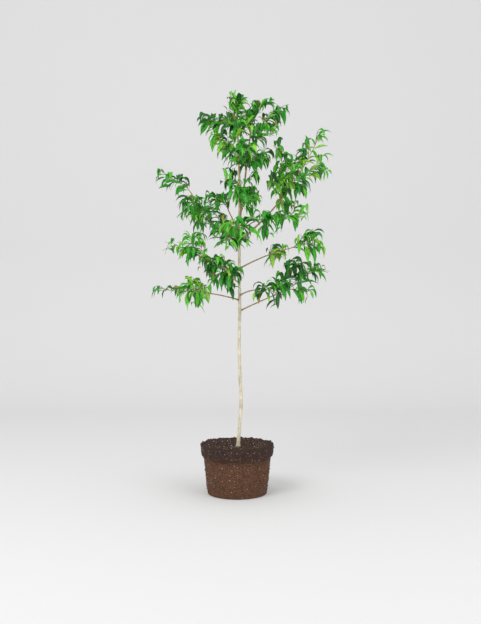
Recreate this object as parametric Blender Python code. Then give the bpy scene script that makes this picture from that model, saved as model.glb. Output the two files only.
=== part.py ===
"""A young plum tree on its own root ball, which keeps the shape of the nursery pot it grew in.

Metres, +Z up. The origin is the centre of the root ball's flat underside, +X is the viewer's right
and +Y points away from the viewer. The trunk, each bough and each mass of leaves is one closed solid.
"""

import math
import random

import bmesh
import bpy
import numpy as np
from mathutils import Quaternion, Vector
from mathutils.bvhtree import BVHTree

# Root ball: height and radius of each turn of its side, from the underside up
BALL_SIDE = (
    (0.0000, 0.1070),
    (0.0700, 0.1145),
    (0.1330, 0.1210),              # neck under the band that the pot's rim moulded
    (0.1400, 0.1290),
    (0.1620, 0.1315),
    (0.1790, 0.1330),              # ragged crest
)
CREST_HEIGHT = BALL_SIDE[-1][0]
SOIL_HEIGHT = 0.1700               # flat patch that the trunk leaves from
# Soil inside the crest: radius, height, and how far the ring has moved from the trunk to the middle
BALL_TOP = (
    (0.1180, 0.1810, 1.0),
    (0.0930, 0.1745, 0.9),
    (0.0520, 0.1715, 0.5),
    (0.0140, SOIL_HEIGHT, 0.0),
)
BALL_SIDES = 36
CREST_ROUGHNESS = 0.0035
SOIL_ROUGHNESS = 0.0025
ROUGHNESS_INWARD = 0.3             # how far a ragged point draws in, for each metre it is lifted

# Trunk: height, sideways place, place away from the viewer, radius
GAP = 0.0003                       # left between solids that touch on the tree
TRUNK_COURSE = (
    (SOIL_HEIGHT + GAP, 0.0033, -0.018, 0.0084),
    (0.1850, 0.0040, -0.018, 0.0066),
    (0.2600, 0.0098, -0.017, 0.0060),
    (0.3300, 0.0138, -0.015, 0.0059),
    (0.4050, 0.0110, -0.012, 0.0058),
    (0.5350, 0.0070, -0.008, 0.0057),
    (0.6600, 0.0092, -0.004, 0.0057),
    (0.8050, 0.0076, -0.002, 0.0054),
    (0.9750, 0.0082, 0.000, 0.0048),
    (1.1200, 0.0084, 0.006, 0.0038),
    (1.2300, 0.0040, 0.010, 0.0030),
    (1.3450, 0.0010, 0.010, 0.0020),
)
TRUNK_SIDES = 10
TRUNK_RINGS = 28
TRUNK_CROWDING = 1.5               # crowds the rings towards the root flare

BOUGH_SIDES = 6
BOUGH_RINGS = 5
TWIG_SIDES = 3
STEM_RINGS = 3
SHOOT_RINGS = 2
SHARP_ANGLE = math.radians(40)
FLAT_ANGLE = math.radians(0.3)     # below it the faces of a joined mass are merged
SLIVER = 0.00002                   # and edges shorter than this are closed up
SAMPLE_STEP = 0.004                # along limbs and stems, for the clearance tests
SEAT_STEP = 0.0001                 # by which a stem backs out of its carrier until it is clear

# Growth rule of the masses
STEM_RADIUS = 0.0024               # three-sided, with as much wood as a round twig of 1.5 mm
STEM_LEAD = 0.45                   # share of a tip stem's length that follows its bough's line
SHOOT_RADIUS = 0.0018
TWIG_TIP_SHARE = 0.7               # a twig's tip radius as a share of its foot radius
STEM_BARE_SHARE = 0.22             # of the stem, before its first leaf
SHOOT_BARE_SHARE = 0.25
SHOOT_PLACES = (0.18, 0.9)         # first and last shoot, as shares of the stem
SHOOT_LENGTH = 0.045               # and so much more for each metre of stem:
SHOOT_LENGTH_GAIN = 0.25
SHOOT_TAPER = (1.1, 0.4)           # length of shoots at the stem's foot, and how much less at its tip
SHOOT_SIZES = (0.85, 1.1)
SHOOT_SPREAD = 0.95                # outward part of a shoot's heading, against 1 along the stem
SHOOT_LIFT = 0.35
SHOOT_DROOP = 0.30                 # how far a shoot's tip sinks, as a share of its length
SHOOT_TRY_TURN = 0.9
SHOOT_TRY_SIZE = 0.85
LEAF_SPACING = 0.0320
LEAF_LENGTH = 0.086                # larger than life: each leaf here stands for nearly two
LEAF_SIZES = (0.85, 1.12)
LAST_LEAF_SIZE = 0.85
LAST_LEAF_PLACE = 0.985            # on the twig, just short of its end
LEAF_WIDTH_SHARE = 0.40
LEAF_THICKNESS = 0.0012
LEAF_ROOT = 0.0003                 # half the width of a leaf's root, sunk in its twig
LEAF_ROOT_THICKNESS = 0.0005
LEAF_SINK = 0.0005                 # the root lies this far beyond the twig's axis
LEAF_HEADING = (0.55, 0.75, 0.25)  # parts along the twig, outwards and up
LEAF_STEPS = 11
WIDEST_STEP = 5
LEAF_DROOP = (0.7, 1.3)            # 1 where a leaf's tip has just turned straight down
LEAF_ROLL = 0.9
LEAF_TRY_TURN = 1.1
LEAF_TRY_SIZE = 0.93
GOLDEN_TURN = math.radians(137.5)
TRIES = 6
SPACE_MARGIN = 0.0018              # kept free on both sides of the border between two masses
LIMB_CLEARANCE = 0.0024

UP = Vector((0.0, 0.0, 1.0))
RIGHT = Vector((1.0, 0.0, 0.0))
UPRIGHT_SINE = 0.15                # below it a line counts as upright
TIP = "tip"


def bough(on, at, heading, reach, rise, arch, foot, tip, by_height=False):
    """A bough leaves `on` at a height on the trunk, or at a share of a bough's length.

    heading: degrees, 0 to the right and 90 away from the viewer. arch: how far its middle stands
    above the straight line. foot, tip: radii. by_height: what it carries is placed by height."""
    return {"on": on, "at": at, "heading": heading, "reach": reach, "rise": rise, "arch": arch,
            "foot": foot, "tip": tip, "by_height": by_height}


BOUGHS = {
    "second_leader": bough("trunk", 0.979, -26, 0.045, 0.325, -0.006, 0.0042, 0.0021, by_height=True),
    "bough_right_low": bough("trunk", 0.657, 32, 0.175, 0.066, 0.002, 0.0028, 0.0017),
    "bough_right_second": bough("trunk", 0.713, -48, 0.105, 0.018, 0.006, 0.0026, 0.0017),
    "bough_right_third": bough("trunk", 0.810, -30, 0.200, 0.064, 0.007, 0.0029, 0.0017),
    "bough_right_high": bough("trunk", 0.912, 20, 0.195, 0.196, -0.014, 0.0040, 0.0022),
    "bough_right_spur": bough("bough_right_high", 0.50, -38, 0.076, -0.005, 0.004, 0.0021, 0.0017),
    "bough_front_right": bough("trunk", 0.943, -54, 0.100, 0.031, 0.003, 0.0025, 0.0017),
    "bough_front": bough("trunk", 0.914, -97, 0.115, 0.023, 0.004, 0.0024, 0.0017),
    "bough_back_left": bough("trunk", 0.870, 108, 0.130, 0.053, 0.003, 0.0026, 0.0017),
    "bough_back_low": bough("trunk", 0.755, 110, 0.135, 0.037, 0.004, 0.0025, 0.0017),
    "bough_left_low": bough("trunk", 0.696, -152, 0.165, 0.028, 0.004, 0.0027, 0.0017),
    "bough_left_second": bough("trunk", 0.789, -147, 0.140, 0.052, -0.003, 0.0028, 0.0018),
    "bough_left_high": bough("trunk", 0.910, 160, 0.190, 0.184, -0.034, 0.0036, 0.0018),
    "bough_left_top": bough("trunk", 0.957, -126, 0.070, 0.062, -0.008, 0.0025, 0.0017),
}


def mass(on, at, heading, reach, rise, arch, above, below, side, shoots):
    """A mass of leaves on one stem, which leaves `on` at a height, at a share of it, or at its tip.

    heading, reach, rise, arch: as for a bough, to the stem's own tip. above, below, side: how far
    the leaves may spread from the stem. shoots: how many side shoots the stem has."""
    return {"on": on, "at": at, "heading": heading, "reach": reach, "rise": rise, "arch": arch,
            "above": above, "below": below, "side": side, "shoots": shoots}


MASSES = {
    "leaves_top_left": mass("trunk", TIP, -135, 0.005, 0.075, 0, 0.03, 0.07, 0.055, 4),
    "leaves_top_right": mass("second_leader", TIP, -35, 0.045, 0.08, 0, 0.03, 0.06, 0.06, 3),
    "leaves_top_left_spray": mass("trunk", 1.31, -160, 0.105, 0.03, 0.02, 0.03, 0.065, 0.05, 3),
    "leaves_top_right_spray": mass("second_leader", 1.275, 20, 0.115, 0.12, 0.01, 0.02, 0.05, 0.05, 3),
    "leaves_top_right_low": mass("second_leader", 1.24, -35, 0.08, 0.08, 0, 0.05, 0.06, 0.06, 3),
    "leaves_top_front": mass("trunk", 1.28, -90, 0.12, 0.015, 0, 0.05, 0.07, 0.07, 4),
    "leaves_top_back": mass("trunk", 1.29, 75, 0.115, 0.085, 0, 0.05, 0.07, 0.07, 4),
    "leaves_column_left_high": mass("trunk", 1.235, -145, 0.075, 0.05, 0, 0.03, 0.09, 0.05, 3),
    "leaves_column_right_high": mass("second_leader", 1.175, 25, 0.08, 0.055, 0, 0.03, 0.06, 0.06, 3),
    "leaves_column_front_high": mass("second_leader", 1.165, -90, 0.11, 0.05, 0, 0.04, 0.08, 0.07, 4),
    "leaves_column_back_high": mass("trunk", 1.2, 90, 0.11, 0.075, 0, 0.04, 0.08, 0.07, 4),
    "leaves_column_left_low": mass("trunk", 1.115, 130, 0.045, 0.04, 0, 0.03, 0.06, 0.045, 2),
    "leaves_column_right_low": mass("second_leader", 1.11, -5, 0.03, 0.05, 0, 0.03, 0.06, 0.04, 2),
    "leaves_column_front_low": mass("trunk", 1.06, -90, 0.115, 0.015, 0, 0.04, 0.08, 0.06, 4),
    "leaves_column_back_low": mass("trunk", 1.05, 75, 0.11, 0.045, 0, 0.04, 0.08, 0.06, 4),
    "leaves_right_high_tip": mass("bough_right_high", TIP, 5, 0.11, 0.19, 0, 0.03, 0.07, 0.06, 4),
    "leaves_right_high_left": mass("bough_right_high", 0.86, -95, 0.065, 0.165, 0, 0.04, 0.07, 0.055, 4),
    "leaves_right_high_right": mass("bough_right_high", 0.95, 25, 0.145, 0.13, 0, 0.04, 0.06, 0.05, 4),
    "leaves_right_high_front": mass("bough_right_high", 0.9, -75, 0.11, 0.065, 0, 0.05, 0.07, 0.07, 4),
    "leaves_right_high_back": mass("bough_right_high", 0.8, 75, 0.12, 0.1, 0, 0.05, 0.07, 0.07, 4),
    "leaves_right_spur": mass("bough_right_spur", TIP, -45, 0.065, 0.025, 0, 0.035, 0.06, 0.055, 3),
    "leaves_front_right": mass("bough_front_right", TIP, -40, 0.075, 0, 0, 0.03, 0.1, 0.065, 4),
    "leaves_front_left": mass("trunk", 0.905, -130, 0.12, 0.08, 0, 0.035, 0.12, 0.065, 4),
    "leaves_front": mass("bough_front", TIP, -75, 0.09, 0.01, 0, 0.035, 0.13, 0.07, 4),
    "leaves_back_left": mass("bough_back_left", TIP, 95, 0.1, 0.04, 0, 0.04, 0.1, 0.08, 4),
    "leaves_back_low": mass("bough_back_low", TIP, 100, 0.085, 0.04, 0, 0.04, 0.1, 0.08, 4),
    "leaves_left_top": mass("bough_left_top", TIP, -140, 0.05, 0.03, 0, 0.025, 0.06, 0.05, 3),
    "leaves_left_high_tip": mass("bough_left_high", TIP, 165, 0.1, 0.065, 0, 0.03, 0.05, 0.045, 3),
    "leaves_left_high_front": mass("bough_left_high", 0.88, -100, 0.115, -0.03, 0, 0.035, 0.11, 0.06, 4),
    "leaves_left_high_back": mass("bough_left_high", 0.74, 95, 0.115, 0.015, 0, 0.04, 0.09, 0.08, 4),
    "leaves_left_second_tip": mass("bough_left_second", TIP, -165, 0.055, 0.06, 0, 0.035, 0.08, 0.055, 4),
    "leaves_left_second_far": mass("bough_left_second", 0.88, 160, 0.14, 0.065, 0, 0.02, 0.04, 0.045, 2),
    "leaves_left_second_low": mass("bough_left_second", 0.62, -105, 0.095, 0.005, 0, 0.03, 0.11, 0.06, 4),
    "leaves_left_second_inner": mass("bough_left_second", 0.28, -90, 0.085, -0.01, 0, 0.02, 0.12, 0.05, 3),
    "leaves_left_low_inner": mass("bough_left_low", 0.8, 130, 0.1, 0.035, 0, 0.03, 0.07, 0.06, 4),
    "leaves_left_low_front": mass("bough_left_low", 0.9, -110, 0.08, 0.005, 0, 0.02, 0.08, 0.045, 2),
    "leaves_left_low_tip": mass("bough_left_low", TIP, -160, 0.13, 0.005, 0, 0.02, 0.03, 0.045, 2),
    "leaves_right_third_inner": mass("bough_right_third", 0.58, 55, 0.11, 0.025, 0, 0.03, 0.07, 0.06, 3),
    "leaves_right_third_tip": mass("bough_right_third", TIP, -20, 0.085, 0.04, 0, 0.025, 0.08, 0.05, 4),
    "leaves_right_low_inner": mass("bough_right_low", 0.86, -35, 0.095, 0.115, 0, 0.035, 0.08, 0.07, 4),
    "leaves_right_low_tip": mass("bough_right_low", TIP, 25, 0.15, 0.1, 0, 0.03, 0.08, 0.06, 4),
    "leaves_right_second": mass("bough_right_second", TIP, -50, 0.065, 0, 0, 0.025, 0.08, 0.06, 4),
}


def compass(heading):
    """Level unit vector for a heading in degrees."""
    angle = math.radians(heading)
    return Vector((math.cos(angle), math.sin(angle), 0.0))


def span(plan):
    """Vector from a limb's foot to its tip."""
    return compass(plan["heading"]) * plan["reach"] + UP * plan["rise"]


class Limb:
    """A tapering run of points. marks: what `at` is read against, one for each point."""

    def __init__(self, points, radii, marks):
        self.points = points
        self.radii = radii
        self.marks = marks
        self.samples, self.sample_radii = self.sampled()

    def at(self, mark):
        """Point, axis and radius at a mark."""
        last = len(self.points) - 2
        index = 0
        while index < last and self.marks[index + 1] < mark:
            index += 1
        low, high = self.points[index], self.points[index + 1]
        share = (mark - self.marks[index]) / (self.marks[index + 1] - self.marks[index])
        radius = self.radii[index] + share * (self.radii[index + 1] - self.radii[index])
        return low.lerp(high, share), (high - low).normalized(), radius

    def length(self):
        return sum((high - low).length for low, high in zip(self.points, self.points[1:]))

    def sampled(self):
        """Close-set points and radii along the limb."""
        points, radii = [], []
        for index in range(len(self.points) - 1):
            low, high = self.points[index], self.points[index + 1]
            count = max(1, math.ceil((high - low).length / SAMPLE_STEP))
            for step in range(count + 1):
                points.append(low.lerp(high, step / count))
                radii.append(self.radii[index])
        return np.array(points), np.array(radii)


def course_at(height):
    """Trunk position and radius at a height, on cubics through the rows of the course."""
    last = len(TRUNK_COURSE) - 2
    index = max(row for row in range(last + 1) if TRUNK_COURSE[row][0] <= height)
    low, high = TRUNK_COURSE[index], TRUNK_COURSE[index + 1]
    before = TRUNK_COURSE[max(index - 1, 0)]
    after = TRUNK_COURSE[min(index + 2, last + 1)]
    rise = high[0] - low[0]
    share = (height - low[0]) / rise
    values = []
    for column in (1, 2, 3):
        slope_low = (high[column] - before[column]) / (high[0] - before[0]) * rise
        slope_high = (after[column] - low[column]) / (after[0] - low[0]) * rise
        ease = share * share * (3 - 2 * share)
        lead = share * (1 - share) * ((1 - share) * slope_low - share * slope_high)
        values.append(low[column] + (high[column] - low[column]) * ease + lead)
    return Vector((values[0], values[1], height)), values[2]


def trunk_limb():
    foot, top = TRUNK_COURSE[0][0], TRUNK_COURSE[-1][0]
    shares = [(ring / TRUNK_RINGS) ** TRUNK_CROWDING for ring in range(TRUNK_RINGS + 1)]
    heights = [foot + (top - foot) * share for share in shares]
    rows = [course_at(height) for height in heights]
    return Limb([row[0] for row in rows], [row[1] for row in rows], heights)


def arched(start, control, end, rings):
    """Points along a quadratic curve."""
    points = []
    for ring in range(rings + 1):
        share = ring / rings
        points.append(start.lerp(control, share).lerp(control.lerp(end, share), share))
    return points


def bough_limb(limbs, plan):
    """Limb of a bough, from the axis of what carries it."""
    start = limbs[plan["on"]].at(plan["at"])[0]
    end = start + span(plan)
    control = start.lerp(end, 0.5) + UP * plan["arch"] * 2
    points = arched(start, control, end, BOUGH_RINGS)
    shares = [ring / BOUGH_RINGS for ring in range(BOUGH_RINGS + 1)]
    radii = [plan["foot"] + (plan["tip"] - plan["foot"]) * share for share in shares]
    marks = [point.z for point in points] if plan["by_height"] else shares
    return Limb(points, radii, marks)


def twig_limb(points, radius):
    shares = [index / (len(points) - 1) for index in range(len(points))]
    radii = [radius * (1 - (1 - TWIG_TIP_SHARE) * share) for share in shares]
    return Limb(points, radii, shares)


def ring_offsets(ahead, across, radius, sides):
    """Corners of a ring round a point, square to `ahead`."""
    beside = ahead.cross(across)
    angles = [math.tau * side / sides for side in range(sides)]
    return [(across * math.cos(angle) + beside * math.sin(angle)) * radius for angle in angles]


def seat_distance(ahead, axis, carrier_radius):
    """How far from its carrier's axis a stem starts, so that its whole first ring is just clear."""
    corners = ring_offsets(ahead, ahead.orthogonal().normalized(), STEM_RADIUS, TWIG_SIDES)
    rim = corners + [corners[i].lerp(corners[i - 1], 0.5) for i in range(TWIG_SIDES)]
    distance = carrier_radius
    while any((ahead * distance + point).cross(axis).length < carrier_radius + GAP for point in rim):
        distance += SEAT_STEP
    return distance


def stem_limb(limbs, plan):
    """Stem of a mass, from just clear of its bough's tip or of its carrier's flank."""
    carrier = limbs[plan["on"]]
    if plan["at"] == TIP:
        axis = (carrier.points[-1] - carrier.points[-2]).normalized()
        start = carrier.points[-1] + axis * GAP
        end = start + span(plan)
        control = start + axis * span(plan).length * STEM_LEAD + UP * plan["arch"] * 2
        lean = (control - start).normalized().cross(axis).length
        start = start + axis * STEM_RADIUS * lean
        return twig_limb(arched(start, control, end, STEM_RINGS), STEM_RADIUS)
    foot, axis, radius = carrier.at(plan["at"])
    end = foot + span(plan)
    control = foot.lerp(end, 0.5) + UP * plan["arch"] * 2
    ahead = (control - foot).normalized()
    start = foot + ahead * seat_distance(ahead, axis, radius)
    return twig_limb(arched(start, control, end, STEM_RINGS), STEM_RADIUS)


class Space:
    """The room of every mass: what is nearer to its own stem than to any other, clear of the limbs."""

    def __init__(self, limbs, stems):
        self.names = list(stems)
        self.points = np.concatenate([stems[name].samples for name in self.names])
        counts = [len(stems[name].samples) for name in self.names]
        self.owners = np.repeat(np.arange(len(self.names)), counts)
        self.limb_points = np.concatenate([limb.samples for limb in limbs.values()])
        self.limb_radii = np.concatenate([limb.sample_radii for limb in limbs.values()])

    def holds(self, name, points):
        """Whether all points lie in the room of the named mass."""
        plan = MASSES[name]
        places = np.array(points)
        limb_gaps = np.linalg.norm(places[:, None] - self.limb_points[None], axis=2)
        if (limb_gaps < self.limb_radii + LIMB_CLEARANCE).any():
            return False
        own = self.owners == self.names.index(name)
        gaps = np.linalg.norm(places[:, None] - self.points[None], axis=2)
        nearest_own = gaps[:, own].min(axis=1)
        nearest_other = gaps[:, ~own].min(axis=1)
        if (nearest_other - nearest_own < 2 * SPACE_MARGIN).any():
            return False
        offsets = places - self.points[own][gaps[:, own].argmin(axis=1)]
        too_high = offsets[:, 2] > plan["above"]
        too_low = offsets[:, 2] < -plan["below"]
        too_wide = np.hypot(offsets[:, 0], offsets[:, 1]) > plan["side"]
        return not (too_high | too_low | too_wide).any()


def outward(axis, turn):
    """Unit vector square to a twig's axis, upwards at no turn."""
    level = axis.cross(UP)
    if level.length < UPRIGHT_SINE:
        level = RIGHT
    return Quaternion(axis, turn) @ level.cross(axis).normalized()


def leaf_plan(draw, root, axis, turn, size):
    """Centre line, sideways direction and width of one leaf on a twig."""
    along, out, lift = LEAF_HEADING
    radial = outward(axis, turn)
    ahead = (axis * along + radial * out + UP * lift).normalized()
    length = LEAF_LENGTH * size * draw.uniform(*LEAF_SIZES)
    droop = draw.uniform(*LEAF_DROOP)
    line = [root - ahead * LEAF_SINK]
    for step in range(LEAF_STEPS):
        sink = min(1.0, droop * (step + 0.5) / LEAF_STEPS)
        heading = (ahead * (1 - sink) - UP * sink).normalized()
        line.append(line[-1] + heading * length / LEAF_STEPS)
    chord = (line[-1] - line[0]).normalized()
    sideways = chord.cross(UP)
    if sideways.length < UPRIGHT_SINE:
        sideways = chord.cross(radial)
    sideways = Quaternion(chord, draw.uniform(-LEAF_ROLL, LEAF_ROLL)) @ sideways.normalized()
    return {"line": line, "sideways": sideways, "chord": chord, "width": length * LEAF_WIDTH_SHARE}


def leaf_points(leaf):
    """Points over a leaf's blade, for the tests against limbs and other masses."""
    points = []
    for step, point in enumerate(leaf["line"][2:], start=2):
        half = leaf["sideways"] * leaf["width"] / 2 * math.sin(math.pi * step / LEAF_STEPS)
        points += [point - half, point, point + half]
    return points


def leaf_shape(leaf):
    """Corners and faces of a keeled blade: a root triangle, one where it is widest, and a tip."""
    line, sideways = leaf["line"], leaf["sideways"]
    keel = leaf["chord"].cross(sideways).normalized()
    if keel.z > 0:
        keel = -keel
        sideways = -sideways
    corners = []
    for point, half, depth in ((line[0], LEAF_ROOT, LEAF_ROOT_THICKNESS),
                               (line[WIDEST_STEP], leaf["width"] / 2, LEAF_THICKNESS)):
        corners += [point - sideways * half, point + sideways * half, point + keel * depth]
    corners.append(line[-1])
    faces = [(2, 1, 0)]
    for corner in range(3):
        following = (corner + 1) % 3
        faces.append((corner, following, following + 3, corner + 3))
        faces.append((corner + 3, following + 3, 6))
    return corners, faces


def twig_strip(twig):
    """Corners and faces of an upright strip along a twig's axis, for the tests against leaves."""
    corners, faces = [], []
    for point, radius in zip(twig.points, twig.radii):
        corners += [point - UP * radius, point + UP * radius]
    for index in range(0, len(corners) - 2, 2):
        faces.append((index, index + 1, index + 3, index + 2))
    return corners, faces


def grow_shoots(space, name, stem):
    """Side shoots of a stem at the golden turn, each one skipped that finds no room."""
    draw = random.Random(name)
    count = MASSES[name]["shoots"]
    first, last = SHOOT_PLACES
    thick, taper = SHOOT_TAPER
    full_reach = SHOOT_LENGTH + SHOOT_LENGTH_GAIN * (stem.points[-1] - stem.points[0]).length
    turn = draw.uniform(0, math.tau)
    shoots = []
    for number in range(count):
        share = first + (last - first) * number / max(1, count - 1)
        root, axis, _ = stem.at(share)
        turn += GOLDEN_TURN
        reach = full_reach * (thick - taper * share) * draw.uniform(*SHOOT_SIZES)
        for attempt in range(TRIES):
            length = reach * SHOOT_TRY_SIZE ** attempt
            radial = outward(axis, turn + attempt * SHOOT_TRY_TURN)
            ahead = (axis + radial * SHOOT_SPREAD + UP * SHOOT_LIFT).normalized() * length
            end = root + ahead - UP * SHOOT_DROOP * length
            shoot = twig_limb(arched(root, root + ahead * 0.5, end, SHOOT_RINGS), SHOOT_RADIUS)
            if space.holds(name, shoot.points[1:]):
                shoots.append(shoot)
                break
    return shoots


def grow_leaves(draw, space, name, twig, bare_share, obstacles):
    """Leaves round a twig at the golden turn, each one skipped that finds no room.

    obstacles: search trees of the mass's other twigs and of its leaves so far, which grows."""
    count = max(1, round(twig.length() * (1 - bare_share) / LEAF_SPACING))
    turn = draw.uniform(0, math.tau)
    leaves = []
    for number in range(count + 1):
        place = min(bare_share + (1 - bare_share) * number / count, LAST_LEAF_PLACE)
        root, axis, _ = twig.at(place)
        size = LAST_LEAF_SIZE if number == count else 1.0
        turn += GOLDEN_TURN
        for attempt in range(TRIES):
            leaf = leaf_plan(draw, root, axis, turn + attempt * LEAF_TRY_TURN, size)
            size *= LEAF_TRY_SIZE
            blade = BVHTree.FromPolygons(*leaf_shape(leaf))
            crossed = any(blade.overlap(obstacle) for obstacle in obstacles)
            if not crossed and space.holds(name, leaf_points(leaf)):
                leaves.append(leaf)
                obstacles.append(blade)
                break
    return leaves


def grow_mass(space, name, stem):
    """Side shoots and leaves of one mass, by a rule that is seeded by its name."""
    shoots = grow_shoots(space, name, stem)
    draw = random.Random(name + " leaves")
    twigs = [stem] + shoots
    strips = [BVHTree.FromPolygons(*twig_strip(twig)) for twig in twigs]
    blades = []
    leaves = []
    for number, twig in enumerate(twigs):
        bare_share = SHOOT_BARE_SHARE if number else STEM_BARE_SHARE
        obstacles = strips[:number] + strips[number + 1:] + blades
        known = len(obstacles)
        leaves += grow_leaves(draw, space, name, twig, bare_share, obstacles)
        blades += obstacles[known:]
    return shoots, leaves


def tube_mesh(name, points, radii, sides, foot_heading=None):
    """Closed tapering tube. foot_heading: direction that squares off the first ring."""
    shape = bmesh.new()
    last = len(points) - 1
    across = (points[1] - points[0]).normalized().orthogonal()
    rings = []
    for index, (point, radius) in enumerate(zip(points, radii)):
        ahead = (points[min(index + 1, last)] - points[max(index - 1, 0)]).normalized()
        if index == 0 and foot_heading is not None:
            ahead = foot_heading
        across = (across - ahead * across.dot(ahead)).normalized()
        corners = ring_offsets(ahead, across, radius, sides)
        rings.append([shape.verts.new(point + corner) for corner in corners])
    bridge(shape, rings, sides)
    return finished_mesh(name, shape)


def bridge(shape, rings, sides):
    """Faces between rings of points, and a cap on both ends."""
    for low, high in zip(rings, rings[1:]):
        for side in range(sides):
            following = (side + 1) % sides
            shape.faces.new((low[side], low[following], high[following], high[side]))
    shape.faces.new(rings[0][::-1])
    shape.faces.new(rings[-1])


def leaf_mesh(name, leaf):
    corners, faces = leaf_shape(leaf)
    shape = bmesh.new()
    verts = [shape.verts.new(corner) for corner in corners]
    for face in faces:
        shape.faces.new([verts[corner] for corner in face])
    return finished_mesh(name, shape)


def finished_mesh(name, shape):
    bmesh.ops.triangulate(shape, faces=shape.faces)
    mesh = bpy.data.meshes.new(name)
    shape.to_mesh(mesh)
    shape.free()
    return mesh


def place(name, mesh, material=None, collection=None):
    thing = bpy.data.objects.new(name, mesh)
    (collection or bpy.context.scene.collection).objects.link(thing)
    if material is not None:
        mesh.materials.clear()
        mesh.materials.append(material)
    return thing


def drop_scraps(shape):
    """Keeps only the largest body: loose scraps and the shells of sealed hollows go."""
    unseen = set(shape.faces)
    largest = set()
    while unseen:
        rim = [unseen.pop()]
        body = set(rim)
        while rim:
            paired = [edge for edge in rim.pop().edges if edge.is_manifold]
            fresh = {near for edge in paired for near in edge.link_faces} & unseen
            unseen -= fresh
            body |= fresh
            rim += fresh
        largest = max(largest, body, key=len)
    scraps = [face for face in shape.faces if face not in largest]
    bmesh.ops.delete(shape, geom=scraps, context="FACES")
    bmesh.ops.triangulate(shape, faces=shape.faces)


def cleaned(mesh, flat_angle):
    """Tidies a joined mesh to one body without flat seams or slivers, and says whether it is closed."""
    shape = bmesh.new()
    shape.from_mesh(mesh)
    drop_scraps(shape)
    bmesh.ops.dissolve_limit(shape, angle_limit=flat_angle, verts=shape.verts, edges=shape.edges)
    bmesh.ops.triangulate(shape, faces=shape.faces)
    bmesh.ops.dissolve_degenerate(shape, dist=SLIVER, edges=shape.edges)
    drop_scraps(shape)
    closed = all(edge.is_manifold for edge in shape.edges)
    shape.to_mesh(mesh)
    shape.free()
    return closed


def closed_union(base, union):
    """Mesh of a join, by the first solver and merging of flat faces that leave it closed, or nothing."""
    for flat_angle in (FLAT_ANGLE, 0.0):
        for solver in ("EXACT", "MANIFOLD"):
            union.solver = solver
            graph = bpy.context.evaluated_depsgraph_get()
            mesh = bpy.data.meshes.new_from_object(base.evaluated_get(graph))
            if cleaned(mesh, flat_angle):
                return mesh
            bpy.data.meshes.remove(mesh)
    return None


def fused_mass(name, stem, shoots, leaves, material):
    """One solid from a stem, its shoots and their leaves, by one union on a collection.

    Leaves are given up one by one, from the last, for as long as the join isn't closed."""
    group = bpy.data.collections.new(name + "_pieces")
    bpy.context.scene.collection.children.link(group)
    for shoot in shoots:
        place(name + "_shoot", tube_mesh(name, shoot.points, shoot.radii, TWIG_SIDES), None, group)
    blades = [place(name + "_leaf", leaf_mesh(name, leaf), None, group) for leaf in leaves]
    base = place(name + "_stem", tube_mesh(name, stem.points, stem.radii, TWIG_SIDES))
    union = base.modifiers.new("join", "BOOLEAN")
    union.operation = "UNION"
    union.operand_type = "COLLECTION"
    union.collection = group
    mesh = closed_union(base, union)
    while mesh is None:
        bpy.data.objects.remove(blades.pop(), do_unlink=True)
        mesh = closed_union(base, union)
    for piece in list(group.objects) + [base]:
        used = piece.data
        bpy.data.objects.remove(piece, do_unlink=True)
        bpy.data.meshes.remove(used)
    bpy.data.collections.remove(group)
    mesh.name = name
    return place(name, mesh, material)


def ball_ring(shape, draw, centre, radius, height, ragged):
    """Ring of points round the root ball, each lifted by chance as far as it is ragged."""
    ring = []
    for side in range(BALL_SIDES):
        lift = draw.uniform(-ragged, ragged)
        out = compass(360 * side / BALL_SIDES) * (radius - abs(lift) * ROUGHNESS_INWARD)
        ring.append(shape.verts.new(centre + out + UP * (height + lift)))
    return ring


def root_ball(material):
    """Moulded plug of roots and potting mix with a ragged crest and a dished top."""
    draw = random.Random("root ball")
    trunk_foot = Vector((TRUNK_COURSE[0][1], TRUNK_COURSE[0][2], 0.0))
    shape = bmesh.new()
    rings = []
    for height, radius in BALL_SIDE:
        ragged = CREST_ROUGHNESS if height == CREST_HEIGHT else 0.0
        rings.append(ball_ring(shape, draw, Vector(), radius, height, ragged))
    for radius, height, moved in BALL_TOP:
        ragged = SOIL_ROUGHNESS if height > SOIL_HEIGHT else 0.0
        rings.append(ball_ring(shape, draw, trunk_foot * (1 - moved), radius, height, ragged))
    bridge(shape, rings, BALL_SIDES)
    return place("root_ball", finished_mesh("root_ball", shape), material)


def clearance(name, limb, sides, foot_heading=None):
    """Hidden copy of a limb, thicker by the gap, that seats what grows from it."""
    radii = [radius + GAP for radius in limb.radii]
    cutter = place(name, tube_mesh(name, limb.points, radii, sides, foot_heading))
    cutter.display_type = "WIRE"
    cutter.hide_render = True
    return cutter


def seat(thing, cutter):
    """Cuts away what of a bough lies inside its carrier."""
    cut = thing.modifiers.new("seat", "BOOLEAN")
    cut.operation = "DIFFERENCE"
    cut.solver = "EXACT"
    cut.object = cutter


def smooth(thing):
    thing.data.shade_smooth()
    thing.data.set_sharp_from_angle(angle=SHARP_ANGLE)


def finish(name, colour, roughness):
    made = bpy.data.materials.new(name)
    made.use_nodes = True
    shader = made.node_tree.nodes["Principled BSDF"]
    shader.inputs["Base Color"].default_value = (*colour, 1.0)
    shader.inputs["Roughness"].default_value = roughness
    shader.inputs["Metallic"].default_value = 0.0
    made.diffuse_color = (*colour, 1.0)
    return made


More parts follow.
